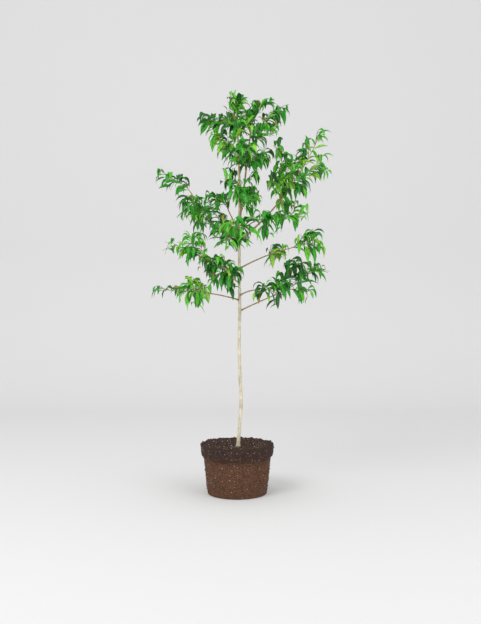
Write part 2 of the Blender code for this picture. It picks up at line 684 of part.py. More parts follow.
def main():
    for thing in list(bpy.data.objects):
        bpy.data.objects.remove(thing, do_unlink=True)

    limbs = {"trunk": trunk_limb()}
    for name, plan in BOUGHS.items():
        limbs[name] = bough_limb(limbs, plan)
    stems = {name: stem_limb(limbs, plan) for name, plan in MASSES.items()}
    space = Space(limbs, stems)

    for name, stem in stems.items():
        shoots, leaves = grow_mass(space, name, stem)
        fused_mass(name, stem, shoots, leaves, finish(name, (0.045, 0.190, 0.020), 0.5))

    root_ball(finish("root_ball", (0.105, 0.052, 0.034), 0.95))
    trunk = limbs["trunk"]
    trunk_mesh = tube_mesh("trunk", trunk.points, trunk.radii, TRUNK_SIDES, UP)
    smooth(place("trunk", trunk_mesh, finish("trunk", (0.620, 0.560, 0.420), 0.7)))
    cutters = {"trunk": clearance("trunk_clearance", trunk, TRUNK_SIDES, UP)}
    for name, plan in BOUGHS.items():
        carrier = plan["on"]
        if carrier not in cutters:
            cutters[carrier] = clearance(carrier + "_clearance", limbs[carrier], BOUGH_SIDES)
        bough_mesh = tube_mesh(name, limbs[name].points, limbs[name].radii, BOUGH_SIDES)
        made = place(name, bough_mesh, finish(name, (0.430, 0.330, 0.190), 0.7))
        smooth(made)
        seat(made, cutters[carrier])


main()
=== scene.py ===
import math
import random

import bpy
import numpy as np
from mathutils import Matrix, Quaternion, Vector, noise


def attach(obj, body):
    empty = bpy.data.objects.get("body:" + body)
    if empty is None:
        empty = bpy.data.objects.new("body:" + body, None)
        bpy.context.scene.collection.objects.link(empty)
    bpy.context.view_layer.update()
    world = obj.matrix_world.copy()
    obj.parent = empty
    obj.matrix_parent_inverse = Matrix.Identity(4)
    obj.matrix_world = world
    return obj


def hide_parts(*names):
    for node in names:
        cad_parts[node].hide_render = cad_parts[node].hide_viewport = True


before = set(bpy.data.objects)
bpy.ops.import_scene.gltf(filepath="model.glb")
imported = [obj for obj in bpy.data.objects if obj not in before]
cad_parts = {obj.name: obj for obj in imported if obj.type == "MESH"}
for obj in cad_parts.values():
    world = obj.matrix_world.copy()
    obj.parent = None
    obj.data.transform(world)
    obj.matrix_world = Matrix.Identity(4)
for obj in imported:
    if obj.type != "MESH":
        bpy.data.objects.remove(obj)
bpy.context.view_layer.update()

up = Vector((0.0, 0.0, 1.0))
right = Vector((1.0, 0.0, 0.0))
goldenTurn = math.radians(137.5)
tip = "tip"


def linear(red, green, blue):
    # screen colour, 0 to 255, as the shader wants it
    parts = [value / 255 for value in (red, green, blue)]
    return (*[part / 12.92 if part <= 0.04045 else ((part + 0.055) / 1.055) ** 2.4 for part in parts], 1.0)


def shaded(colour, share, brightest=255):
    return linear(*[min(brightest, value * share) for value in colour])


# Shader building

class Signal:
    # one node output that can be used in a sum

    def __init__(self, finish, socket):
        self.finish = finish
        self.socket = socket

    def maths(self, operation, first, second):
        return self.finish.node("ShaderNodeMath", {"operation": operation}, {0: first, 1: second})

    def __add__(self, other):
        return self.maths("ADD", self, other)

    def __radd__(self, other):
        return self.maths("ADD", other, self)

    def __rsub__(self, other):
        return self.maths("SUBTRACT", other, self)

    def __mul__(self, other):
        return self.maths("MULTIPLY", self, other)


class Finish:
    # a material and the few ways its nodes are made

    def __init__(self, name, colour, roughness, shine):
        self.material = bpy.data.materials.new(name)
        self.material.use_nodes = True
        self.tree = self.material.node_tree
        self.shader = self.tree.nodes["Principled BSDF"]
        self.shader.inputs["Base Color"].default_value = colour
        self.shader.inputs["Roughness"].default_value = roughness
        self.shader.inputs["Specular IOR Level"].default_value = shine

    def node(self, kind, settings, sockets, output=0):
        made = self.tree.nodes.new(kind)
        for name, value in settings.items():
            if name == "stops":
                self.fillRamp(made.color_ramp, value)
            else:
                setattr(made, name, value)
        for key, value in sockets.items():
            if isinstance(value, Signal):
                self.tree.links.new(value.socket, made.inputs[key])
            else:
                made.inputs[key].default_value = value
        return Signal(self, made.outputs[output])

    def fillRamp(self, ramp, stops):
        while len(ramp.elements) < len(stops):
            ramp.elements.new(0.5)
        for element, (place, level) in zip(ramp.elements, stops):
            element.position = place
            element.color = (level, level, level, 1.0)

    def place(self):
        return self.node("ShaderNodeTexCoord", {}, {}, "Object")

    def grain(self, scale, detail=3.0, stretch=None):
        # cloudy values, so many to the metre; stretch squeezes them along an axis
        where = self.place()
        if stretch:
            where = self.node("ShaderNodeMapping", {}, {"Vector": where, "Scale": stretch})
        return self.node("ShaderNodeTexNoise", {}, {"Vector": where, "Scale": scale, "Detail": detail})

    def patches(self, scale, detail, stretch, low, high):
        # cloudy values turned to 0 below low and 1 above high
        cloud = self.grain(scale, detail, stretch)
        return self.node("ShaderNodeValToRGB", {"stops": ((low, 0.0), (high, 1.0))}, {"Fac": cloud})

    def height(self, low, high):
        # 0 below a height, 1 above another
        parts = self.node("ShaderNodeSeparateXYZ", {}, {0: self.place()}, 2)
        return self.node("ShaderNodeMapRange", {}, {"Value": parts, "From Min": low, "From Max": high})

    def mix(self, share, first, second):
        return self.node("ShaderNodeMix", {"data_type": "RGBA"}, {0: share, 6: first, 7: second}, 2)

    def feed(self, name, signal):
        self.tree.links.new(signal.socket, self.shader.inputs[name])

    def bump(self, signal, depth, strength):
        self.feed("Normal", self.node("ShaderNodeBump", {}, {"Height": signal, "Distance": depth,
                                                             "Strength": strength}))


# Plan of the tree, in metres: the same limbs and masses as the solids

trunkPlan = {
    "course": (                    # height, sideways, away from the viewer, radius
        (0.1703, 0.0033, -0.018, 0.0084),
        (0.1850, 0.0040, -0.018, 0.0066),
        (0.2600, 0.0098, -0.017, 0.0060),
        (0.3300, 0.0138, -0.015, 0.0059),
        (0.4050, 0.0110, -0.012, 0.0058),
        (0.5350, 0.0070, -0.008, 0.0057),
        (0.6600, 0.0092, -0.004, 0.0057),
        (0.8050, 0.0076, -0.002, 0.0054),
        (0.9750, 0.0082, 0.000, 0.0048),
        (1.1200, 0.0084, 0.006, 0.0038),
        (1.2300, 0.0040, 0.010, 0.0030),
        (1.3450, 0.0010, 0.010, 0.0020),
    ),
    "rings": 28,                   # of the limb that the twigs are seated on
    "crowding": 1.5,
}

# on, at, heading, reach, rise, arch, radius at the foot and at the tip
boughPlans = {
    "second_leader": ("trunk", 0.979, -26, 0.045, 0.325, -0.006, 0.0042, 0.0021),
    "bough_right_low": ("trunk", 0.657, 32, 0.175, 0.066, 0.002, 0.0028, 0.0017),
    "bough_right_second": ("trunk", 0.713, -48, 0.105, 0.018, 0.006, 0.0026, 0.0017),
    "bough_right_third": ("trunk", 0.810, -30, 0.200, 0.064, 0.007, 0.0029, 0.0017),
    "bough_right_high": ("trunk", 0.912, 20, 0.195, 0.196, -0.014, 0.0040, 0.0022),
    "bough_right_spur": ("bough_right_high", 0.50, -38, 0.076, -0.005, 0.004, 0.0021, 0.0017),
    "bough_front_right": ("trunk", 0.943, -54, 0.100, 0.031, 0.003, 0.0025, 0.0017),
    "bough_front": ("trunk", 0.914, -97, 0.115, 0.023, 0.004, 0.0024, 0.0017),
    "bough_back_left": ("trunk", 0.870, 108, 0.130, 0.053, 0.003, 0.0026, 0.0017),
    "bough_back_low": ("trunk", 0.755, 110, 0.135, 0.037, 0.004, 0.0025, 0.0017),
    "bough_left_low": ("trunk", 0.696, -152, 0.165, 0.028, 0.004, 0.0027, 0.0017),
    "bough_left_second": ("trunk", 0.789, -147, 0.140, 0.052, -0.003, 0.0028, 0.0018),
    "bough_left_high": ("trunk", 0.910, 160, 0.190, 0.184, -0.034, 0.0036, 0.0018),
    "bough_left_top": ("trunk", 0.957, -126, 0.070, 0.062, -0.008, 0.0025, 0.0017),
}
placedByHeight = ("trunk", "second_leader")

# on, at, heading, reach, rise, arch, room above, below and beside the stem, side shoots
massPlans = {
    "leaves_top_left": ("trunk", tip, -135, 0.005, 0.075, 0, 0.03, 0.07, 0.055, 4),
    "leaves_top_right": ("second_leader", tip, -35, 0.045, 0.08, 0, 0.03, 0.06, 0.06, 3),
    "leaves_top_left_spray": ("trunk", 1.31, -160, 0.105, 0.03, 0.02, 0.03, 0.065, 0.05, 3),
    "leaves_top_right_spray": ("second_leader", 1.275, 20, 0.115, 0.12, 0.01, 0.02, 0.05, 0.05, 3),
    "leaves_top_right_low": ("second_leader", 1.24, -35, 0.08, 0.08, 0, 0.05, 0.06, 0.06, 3),
    "leaves_top_front": ("trunk", 1.28, -90, 0.12, 0.015, 0, 0.05, 0.07, 0.07, 4),
    "leaves_top_back": ("trunk", 1.29, 75, 0.115, 0.085, 0, 0.05, 0.07, 0.07, 4),
    "leaves_column_left_high": ("trunk", 1.235, -145, 0.075, 0.05, 0, 0.03, 0.09, 0.05, 3),
    "leaves_column_right_high": ("second_leader", 1.175, 25, 0.08, 0.055, 0, 0.03, 0.06, 0.06, 3),
    "leaves_column_front_high": ("second_leader", 1.165, -90, 0.11, 0.05, 0, 0.04, 0.08, 0.07, 4),
    "leaves_column_back_high": ("trunk", 1.2, 90, 0.11, 0.075, 0, 0.04, 0.08, 0.07, 4),
    "leaves_column_left_low": ("trunk", 1.115, 130, 0.045, 0.04, 0, 0.03, 0.06, 0.045, 2),
    "leaves_column_right_low": ("second_leader", 1.11, -5, 0.03, 0.05, 0, 0.03, 0.06, 0.04, 2),
    "leaves_column_front_low": ("trunk", 1.06, -90, 0.115, 0.015, 0, 0.04, 0.08, 0.06, 4),
    "leaves_column_back_low": ("trunk", 1.05, 75, 0.11, 0.045, 0, 0.04, 0.08, 0.06, 4),
    "leaves_right_high_tip": ("bough_right_high", tip, 5, 0.11, 0.19, 0, 0.03, 0.07, 0.06, 4),
    "leaves_right_high_left": ("bough_right_high", 0.86, -95, 0.065, 0.165, 0, 0.04, 0.07, 0.055, 4),
    "leaves_right_high_right": ("bough_right_high", 0.95, 25, 0.145, 0.13, 0, 0.04, 0.06, 0.05, 4),
    "leaves_right_high_front": ("bough_right_high", 0.9, -75, 0.11, 0.065, 0, 0.05, 0.07, 0.07, 4),
    "leaves_right_high_back": ("bough_right_high", 0.8, 75, 0.12, 0.1, 0, 0.05, 0.07, 0.07, 4),
    "leaves_right_spur": ("bough_right_spur", tip, -45, 0.065, 0.025, 0, 0.035, 0.06, 0.055, 3),
    "leaves_front_right": ("bough_front_right", tip, -40, 0.075, 0, 0, 0.03, 0.1, 0.065, 4),
    "leaves_front_left": ("trunk", 0.905, -130, 0.12, 0.08, 0, 0.035, 0.12, 0.065, 4),
    "leaves_front": ("bough_front", tip, -75, 0.09, 0.01, 0, 0.035, 0.13, 0.07, 4),
    "leaves_back_left": ("bough_back_left", tip, 95, 0.1, 0.04, 0, 0.04, 0.1, 0.08, 4),
    "leaves_back_low": ("bough_back_low", tip, 100, 0.085, 0.04, 0, 0.04, 0.1, 0.08, 4),
    "leaves_left_top": ("bough_left_top", tip, -140, 0.05, 0.03, 0, 0.025, 0.06, 0.05, 3),
    "leaves_left_high_tip": ("bough_left_high", tip, 165, 0.1, 0.065, 0, 0.03, 0.05, 0.045, 3),
    "leaves_left_high_front": ("bough_left_high", 0.88, -100, 0.115, -0.03, 0, 0.035, 0.11, 0.06, 4),
    "leaves_left_high_back": ("bough_left_high", 0.74, 95, 0.115, 0.015, 0, 0.04, 0.09, 0.08, 4),
    "leaves_left_second_tip": ("bough_left_second", tip, -165, 0.055, 0.06, 0, 0.035, 0.08, 0.055, 4),
    "leaves_left_second_far": ("bough_left_second", 0.88, 160, 0.14, 0.065, 0, 0.02, 0.04, 0.045, 2),
    "leaves_left_second_low": ("bough_left_second", 0.62, -105, 0.095, 0.005, 0, 0.03, 0.11, 0.06, 4),
    "leaves_left_second_inner": ("bough_left_second", 0.28, -90, 0.085, -0.01, 0, 0.02, 0.12, 0.05, 3),
    "leaves_left_low_inner": ("bough_left_low", 0.8, 130, 0.1, 0.035, 0, 0.03, 0.07, 0.06, 4),
    "leaves_left_low_front": ("bough_left_low", 0.9, -110, 0.08, 0.005, 0, 0.02, 0.08, 0.045, 2),
    "leaves_left_low_tip": ("bough_left_low", tip, -160, 0.13, 0.005, 0, 0.02, 0.03, 0.045, 2),
    "leaves_right_third_inner": ("bough_right_third", 0.58, 55, 0.11, 0.025, 0, 0.03, 0.07, 0.06, 3),
    "leaves_right_third_tip": ("bough_right_third", tip, -20, 0.085, 0.04, 0, 0.025, 0.08, 0.05, 4),
    "leaves_right_low_inner": ("bough_right_low", 0.86, -35, 0.095, 0.115, 0, 0.035, 0.08, 0.07, 4),
    "leaves_right_low_tip": ("bough_right_low", tip, 25, 0.15, 0.1, 0, 0.03, 0.08, 0.06, 4),
    "leaves_right_second": ("bough_right_second", tip, -50, 0.065, 0, 0, 0.025, 0.08, 0.06, 4),
}


class Limb:
    # a tapering run of points; marks are what its places are read against

    def __init__(self, points, radii, marks):
        self.points = points
        self.radii = radii
        self.marks = marks

    def at(self, mark):
        last = len(self.points) - 2
        index = 0
        while index < last and self.marks[index + 1] < mark:
            index += 1
        low, high = self.points[index], self.points[index + 1]
        share = (mark - self.marks[index]) / (self.marks[index + 1] - self.marks[index])
        radius = self.radii[index] + share * (self.radii[index + 1] - self.radii[index])
        return low.lerp(high, share), (high - low).normalized(), radius

    def length(self):
        return sum((high - low).length for low, high in zip(self.points, self.points[1:]))

    def samples(self, step=0.004):
        points, radii = [], []
        for index in range(len(self.points) - 1):
            low, high = self.points[index], self.points[index + 1]
            count = max(1, math.ceil((high - low).length / step))
            points += [low.lerp(high, part / count) for part in range(count + 1)]
            radii += [self.radii[index]] * (count + 1)
        return np.array(points), np.array(radii)


def span(heading, reach, rise):
    angle = math.radians(heading)
    return Vector((math.cos(angle) * reach, math.sin(angle) * reach, rise))


def courseAt(height):
    # trunk place and radius at a height, on cubics through the course
    course = trunkPlan["course"]
    last = len(course) - 2
    index = max([row for row in range(last + 1) if course[row][0] <= height], default=0)
    low, high = course[index], course[index + 1]
    before, after = course[max(index - 1, 0)], course[min(index + 2, last + 1)]
    rise = high[0] - low[0]
    share = max(0.0, (height - low[0]) / rise)
    values = []
    for column in (1, 2, 3):
        slopeLow = (high[column] - before[column]) / (high[0] - before[0]) * rise
        slopeHigh = (after[column] - low[column]) / (after[0] - low[0]) * rise
        ease = share * share * (3 - 2 * share)
        lead = share * (1 - share) * ((1 - share) * slopeLow - share * slopeHigh)
        values.append(low[column] + (high[column] - low[column]) * ease + lead)
    return Vector((values[0], values[1], height)), values[2]


def arched(start, control, end, rings):
    shares = [ring / rings for ring in range(rings + 1)]
    return [start.lerp(control, share).lerp(control.lerp(end, share), share) for share in shares]


def trunkLimb():
    foot, top = trunkPlan["course"][0][0], trunkPlan["course"][-1][0]
    rings = trunkPlan["rings"]
    heights = [foot + (top - foot) * (ring / rings) ** trunkPlan["crowding"] for ring in range(rings + 1)]
    points, radii = zip(*[courseAt(height) for height in heights])
    return Limb(points, radii, heights)


def boughLimb(limbs, name, rings=5):
    on, at, heading, reach, rise, arch, foot, thin = boughPlans[name]
    start = limbs[on].at(at)[0]
    end = start + span(heading, reach, rise)
    points = arched(start, start.lerp(end, 0.5) + up * arch * 2, end, rings)
    shares = [ring / rings for ring in range(rings + 1)]
    radii = [foot + (thin - foot) * share for share in shares]
    return Limb(points, radii, [point.z for point in points] if name in placedByHeight else shares)


def twigLimb(points):
    # carries no radius: a twig is seated by its middle line and drawn as twigPlan says
    shares = [index / (len(points) - 1) for index in range(len(points))]
    return Limb(points, [0.0] * len(points), shares)


twigPlan = {
    "stemRadius": 0.0015,
    "shootRadius": 0.0011,
    "sprigRadius": 0.0008,
    "taper": 0.45,                 # how much thinner a twig is at its tip
    "stemColours": ((168, 138, 84), (128, 102, 60), (74, 54, 36)),
    "shootColours": ((138, 140, 70), (112, 98, 56), (96, 60, 40)),
    "rings": 8,
    "sides": 7,
    "stemLead": 0.45,
    "gap": 0.0003,
    "shootPlaces": (0.18, 0.9),
    "shootLength": 0.045,
    "shootLengthGain": 0.25,
    "shootTaper": (1.1, 0.4),
    "shootSizes": (0.85, 1.1),
    "shootSpread": 0.95,
    "shootLift": 0.35,
    "shootDroop": 0.30,
    "sprigPlaces": (0.35, 0.7),    # the finer twigs, as shares of a shoot
    "sprigLength": (0.020, 0.038),
    "sprigSpread": 1.1,
    "sprigLift": 0.3,
    "sprigDroop": 0.25,
    "tries": 6,
    "shrink": 0.85,                # of the length at each new try
    "turnAgain": 0.9,              # how far each new try turns, in radians
    "margin": 0.0018,
    "clearance": 0.0024,
    "uprightSine": 0.15,
}


def stemLimb(limbs, name):
    on, at, heading, reach, rise, arch = massPlans[name][:6]
    carrier = limbs[on]
    whole = span(heading, reach, rise)
    if at == tip:
        axis = (carrier.points[-1] - carrier.points[-2]).normalized()
        start = carrier.points[-1] + axis * twigPlan["gap"]
        control = start + axis * whole.length * twigPlan["stemLead"]
    else:
        start = carrier.at(at)[0]
        control = start.lerp(start + whole, 0.5)
    return twigLimb(arched(start, control + up * arch * 2, start + whole, 3))


class Room:
    # what is nearer to a mass's own stem than to any other, clear of the limbs

    def __init__(self, limbs, stems):
        self.names = list(stems)
        samples = [stems[name].samples()[0] for name in self.names]
        self.points = np.concatenate(samples)
        self.owners = np.repeat(np.arange(len(self.names)), [len(part) for part in samples])
        wood = [limb.samples() for limb in limbs.values()]
        self.limbPoints = np.concatenate([part[0] for part in wood])
        self.limbRadii = np.concatenate([part[1] for part in wood])

    def holds(self, name, points):
        above, below, side = massPlans[name][6:9]
        places = np.array(points)
        gaps = np.linalg.norm(places[:, None] - self.limbPoints[None], axis=2)
        if (gaps < self.limbRadii + twigPlan["clearance"]).any():
            return False
        own = self.owners == self.names.index(name)
        gaps = np.linalg.norm(places[:, None] - self.points[None], axis=2)
        if (gaps[:, ~own].min(axis=1) - gaps[:, own].min(axis=1) < 2 * twigPlan["margin"]).any():
            return False
        away = places - self.points[own][gaps[:, own].argmin(axis=1)]
        wide = np.hypot(away[:, 0], away[:, 1]) > side
        return not ((away[:, 2] > above) | (away[:, 2] < -below) | wide).any()


def outward(axis, turn):
    level = axis.cross(up)
    if level.length < twigPlan["uprightSine"]:
        level = right
    return Quaternion(axis, turn) @ level.cross(axis).normalized()


def growShoots(room, name, stem):
    # side shoots by the solids' own rule and seeds
    draw = random.Random(name)
    count = massPlans[name][9]
    first, last = twigPlan["shootPlaces"]
    thick, taper = twigPlan["shootTaper"]
    stemReach = (stem.points[-1] - stem.points[0]).length
    fullReach = twigPlan["shootLength"] + twigPlan["shootLengthGain"] * stemReach
    turn = draw.uniform(0, math.tau)
    shoots = []
    for number in range(count):
        share = first + (last - first) * number / max(1, count - 1)
        root, axis, _ = stem.at(share)
        turn += goldenTurn
        reach = fullReach * (thick - taper * share) * draw.uniform(*twigPlan["shootSizes"])
        for attempt in range(twigPlan["tries"]):
            length = reach * twigPlan["shrink"] ** attempt
            radial = outward(axis, turn + attempt * twigPlan["turnAgain"])
            way = axis + radial * twigPlan["shootSpread"] + up * twigPlan["shootLift"]
            ahead = way.normalized() * length
            end = root + ahead - up * twigPlan["shootDroop"] * length
            shoot = twigLimb(arched(root, root + ahead * 0.5, end, 2))
            if room.holds(name, shoot.points[1:]):
                shoots.append(shoot)
                break
    return shoots


def growSprigs(draw, room, name, shoots):
    # finer twigs on the shoots, within the mass's room
    sprigs = []
    for shoot in shoots:
        turn = draw.uniform(0, math.tau)
        for place in twigPlan["sprigPlaces"]:
            root, axis, _ = shoot.at(place)
            turn += goldenTurn
            length = draw.uniform(*twigPlan["sprigLength"])
            way = axis + outward(axis, turn) * twigPlan["sprigSpread"] + up * twigPlan["sprigLift"]
            ahead = way.normalized() * length
            end = root + ahead - up * twigPlan["sprigDroop"] * length
            sprig = twigLimb(arched(root, root + ahead * 0.5, end, 3))
            if room.holds(name, sprig.points[1:]):
                sprigs.append(sprig)
    return sprigs


leafPlan = {
    "spacing": 0.0135,             # along a twig
    "length": 0.074,
    "sizes": (0.72, 1.12),
    "youngSize": 0.55,             # of the last leaf on a twig
    "widthShare": 0.27,
    "heading": (0.50, 0.85, 0.42),    # along the twig, out from it and up
    "droop": (0.35, 1.20),         # 1 where a tip has just turned straight down
    "roll": 0.9,
    "thickness": 0.0005,
    "thinning": (1.3, 0.8),        # thickness at the stalk, and how much less at the tip
    "stations": 11,
    "keel": 0.30,                  # how far the midrib lies below the edges, against the half width
    "wave": 0.07,                  # of the edges, against the half width
    "waveTurn": 2.1,
    "stalkShare": 0.10,
    "stalkWidth": 0.045,           # against the half width, as the tip's
    "tipWidth": 0.03,
    "tipReach": 0.25,              # how far the tip runs on past the last station
    "widest": 0.86,                # under 1 for nearer the stalk than the tip
    "fullness": 0.85,              # under 1 for a fuller outline
    "narrowing": 0.12,
    "bare": 0.12,                  # share of a twig's foot with no leaves
    "lastPlace": 0.985,
    "tipChance": 0.14,             # that the last leaf is a brownish one
    "darkerChance": 0.25,
    "shrink": 0.95,                # of the length at each new try
    "turnAgain": 1.1,
    "edgeStations": (4, 7),        # whose edges have to be inside the mass's room
    "rootStations": 3,             # which may be outside it
    "section": (                   # across, down, ripple, thickness, surface up to the next
        (-1.00, -1.00, 1, 0.0, "Top"),
        (-0.55, -0.35, 0, 0.0, "Top"),
        (-0.09, 0.15, 0, 0.0, "Rib"),
        (0.09, 0.15, 0, 0.0, "Top"),
        (0.55, -0.35, 0, 0.0, "Top"),
        (1.00, -1.00, -1, 0.0, "Under"),
        (0.50, -0.20, 0, 1.0, "Under"),
        (0.00, 0.15, 0, 1.7, "Under"),
        (-0.50, -0.20, 0, 1.0, "Under"),
    ),
}
tones = ("Deep", "Mid", "Bright", "Young", "Tip")
toneShares = (0.20, 0.42, 0.26, 0.12)    # of the sprays; tips are dealt out leaf by leaf
surfaces = ("Top", "Rib", "Under")
toneColours = {
    "Deep": (24, 92, 18),
    "Mid": (44, 142, 26),
    "Bright": (84, 178, 34),
    "Young": (128, 196, 50),
    "Tip": (132, 118, 50),
}
regions = ("top", "column", "right", "left", "front", "back")


def leafLine(root, ahead, length, droop):
    # midrib that sets off ahead and turns down
    steps = leafPlan["stations"]
    line = [root.copy()]
    for step in range(steps):
        sink = min(1.0, droop * (step + 0.5) / steps)
        line.append(line[-1] + (ahead * (1 - sink) - up * sink).normalized() * length / steps)
    return line


def acrossLeaf(chord, radial, roll):
    sideways = chord.cross(up)
    if sideways.length < twigPlan["uprightSine"]:
        sideways = chord.cross(radial)
    return Quaternion(chord, roll) @ sideways.normalized()


def growLeaves(draw, room, name, twig):
    # leaves round a twig at the golden turn, in one tone a spray
    bare = leafPlan["bare"]
    count = max(1, round(twig.length() * (1 - bare) / leafPlan["spacing"]))
    along, out, lift = leafPlan["heading"]
    roll = leafPlan["roll"]
    turn = draw.uniform(0, math.tau)
    tone = draw.choices(range(len(toneShares)), toneShares)[0]
    leaves = []
    for number in range(count + 1):
        place = min(bare + (1 - bare) * number / count, leafPlan["lastPlace"])
        root, axis, _ = twig.at(place)
        size = leafPlan["youngSize"] if number == count else 1.0
        ownTone = tone
        if number == count and draw.random() < leafPlan["tipChance"]:
            ownTone = tones.index("Tip")
        if number < count and draw.random() < leafPlan["darkerChance"]:
            ownTone = max(0, tone - 1)
        turn += goldenTurn
        for attempt in range(twigPlan["tries"]):
            radial = outward(axis, turn + attempt * leafPlan["turnAgain"])
            ahead = (axis * along + radial * out + up * lift).normalized()
            length = leafPlan["length"] * size * draw.uniform(*leafPlan["sizes"])
            line = leafLine(root, ahead, length, draw.uniform(*leafPlan["droop"]))
            chord = (line[-1] - line[0]).normalized()
            sideways = acrossLeaf(chord, radial, draw.uniform(-roll, roll))
            half = length * leafPlan["widthShare"] / 2
            size *= leafPlan["shrink"]
            edge = [line[step] + sideways * half * side for step in leafPlan["edgeStations"]
                    for side in (-1, 1)]
            if room.holds(name, line[leafPlan["rootStations"]:] + edge):
                leaves.append((line, sideways, chord, half, ownTone, draw.uniform(0, math.tau)))
                break
    return leaves


class Heap:
    # joined mesh of many small things, with a material number for each face

    def __init__(self):
        self.points = []
        self.faces = []
        self.marks = []

    def add(self, points, faces, marks):
        base = len(self.points)
        self.points += points
        self.faces += [tuple(base + corner for corner in face) for face in faces]
        self.marks += marks if isinstance(marks, list) else [marks] * len(faces)

    def piece(self, name, finishes, smooth=True):
        mesh = bpy.data.meshes.new(name)
        mesh.from_pydata([tuple(point) for point in self.points], [], self.faces)
        for finish in finishes:
            mesh.materials.append(finish.material)
        mesh.polygons.foreach_set("material_index", self.marks)
        mesh.polygons.foreach_set("use_smooth", [smooth] * len(self.faces))
        mesh.update()
        made = bpy.data.objects.new(name, mesh)
        bpy.context.scene.collection.objects.link(made)
        return made


def stackFaces(rings, sides):
    # faces of a closed stack of rings: the sides, then both ends
    faces = []
    for ring in range(rings - 1):
        low, high = ring * sides, (ring + 1) * sides
        for side in range(sides):
            following = (side + 1) % sides
            faces.append((low + side, low + following, high + following, high + side))
    faces.append(tuple(range(sides))[::-1])
    faces.append(tuple((rings - 1) * sides + side for side in range(sides)))
    return faces


def addTube(heap, points, radii, sides, mark=0, shape=None):
    # closed tube; shape(point, way) gives what is added to the radius
    last = len(points) - 1
    across = (points[1] - points[0]).normalized().orthogonal()
    corners = []
    for ring, (point, radius) in enumerate(zip(points, radii)):
        ahead = (points[min(ring + 1, last)] - points[max(ring - 1, 0)]).normalized()
        across = (across - ahead * across.dot(ahead)).normalized()
        beside = ahead.cross(across)
        for side in range(sides):
            angle = math.tau * side / sides
            way = across * math.cos(angle) + beside * math.sin(angle)
            corners.append(point + way * (radius + (shape(point, way) if shape else 0.0)))
    heap.add(corners, stackFaces(len(points), sides), mark)


def leafProfile(share):
    # half width along a lance-shaped leaf, 0 at the stalk's root and 1 at the tip
    stalk = leafPlan["stalkShare"]
    if share <= stalk:
        return leafPlan["stalkWidth"]
    along = (share - stalk) / (1 - stalk)
    blade = math.sin(math.pi * along ** leafPlan["widest"]) ** leafPlan["fullness"]
    return max(leafPlan["tipWidth"], blade * (1 - leafPlan["narrowing"] * along))


def addLeaf(heap, leaf):
    line, sideways, chord, half, tone, phase = leaf
    keel = chord.cross(sideways).normalized()
    if keel.z > 0:
        keel, sideways = -keel, -sideways
    stations = leafPlan["stations"]
    section = leafPlan["section"]
    thick, thinner = leafPlan["thinning"]
    corners = []
    for step in range(stations + 1):
        share = step / stations
        width = half * leafProfile(share)
        ripple = keel * width * leafPlan["wave"] * math.sin(phase + step * leafPlan["waveTurn"])
        down = keel * width * leafPlan["keel"]
        deep = keel * leafPlan["thickness"] * (thick - thinner * share)
        centre = line[step]
        if step == stations:
            centre = centre + (line[-1] - line[-2]) * leafPlan["tipReach"]
        corners += [centre + sideways * width * across + down * drop + ripple * wave + deep * below
                    for across, drop, wave, below, _ in section]
    firstMark = tone * len(surfaces)
    rib = firstMark + surfaces.index("Rib")
    sideMarks = [firstMark + surfaces.index(row[4]) for row in section]
    marks = [rib] * len(section) + sideMarks * (stations - 1) + [rib, firstMark]
    heap.add(corners, stackFaces(stations + 1, len(section)), marks)


# Finishes

leafLooks = {
    "lift": {"Top": 1.0, "Rib": 1.28, "Under": 1.14},
    "paler": {"Top": 0, "Rib": 0, "Under": 14},
    "brightest": (235, 245),       # of a channel, and of its lighter patches
    "roughness": {"Top": 0.32, "Rib": 0.32, "Under": 0.5},
    "roughnessSpread": 0.25,
    "roughnessGrain": 300.0,
    "shine": 0.45,
    "cloudGrain": 120.0,
    "cloudShades": (0.78, 1.16),
    "poreGrain": (900.0, 2.0),
    "poreDepth": 0.0003,
    "poreStrength": 0.35,
}


def leafFinish(tone, surface):
    bright, brightest = leafLooks["brightest"]
    darker, lighter = leafLooks["cloudShades"]
    lift, paler = leafLooks["lift"][surface], leafLooks["paler"][surface]
    colour = [min(bright, value * lift + paler) for value in toneColours[tone]]
    rough = leafLooks["roughness"][surface]
    made = Finish("leaf" + tone + surface, linear(*colour), rough, leafLooks["shine"])
    cloud = made.grain(leafLooks["cloudGrain"])
    made.feed("Base Color", made.mix(cloud, shaded(colour, darker), shaded(colour, lighter, brightest)))
    made.feed("Roughness", made.grain(leafLooks["roughnessGrain"]) * leafLooks["roughnessSpread"] + rough)
    made.bump(made.grain(*leafLooks["poreGrain"]), leafLooks["poreDepth"], leafLooks["poreStrength"])
    return made


barkLooks = {
    "clouds": (38.0, 5.0, None, 0.38, 0.68),    # grains to the metre, detail, stretch and cut
    "streaks": (240.0, 4.0, (1.0, 1.0, 0.12), 0.45, 0.75),
    "marks": (420.0, 2.0, (0.25, 0.25, 1.0), 0.66, 0.74),
    "streakStrength": 0.55,
    "streakShade": 0.72,
    "markStrength": 0.7,
    "leaderHeights": (0.95, 1.20),    # over which the bark turns tan
    "footHeights": (0.168, 0.215),    # over which the darkening towards the foot ends
    "footStrength": 0.75,
    "roughness": 0.5,
    "streakRoughness": 0.25,
    "shine": 0.35,
    "poreGrain": (1100.0, 2.0),
    "streakRelief": 0.6,
    "poreRelief": 0.3,
    "reliefDepth": 0.0005,
    "reliefStrength": 0.6,
}


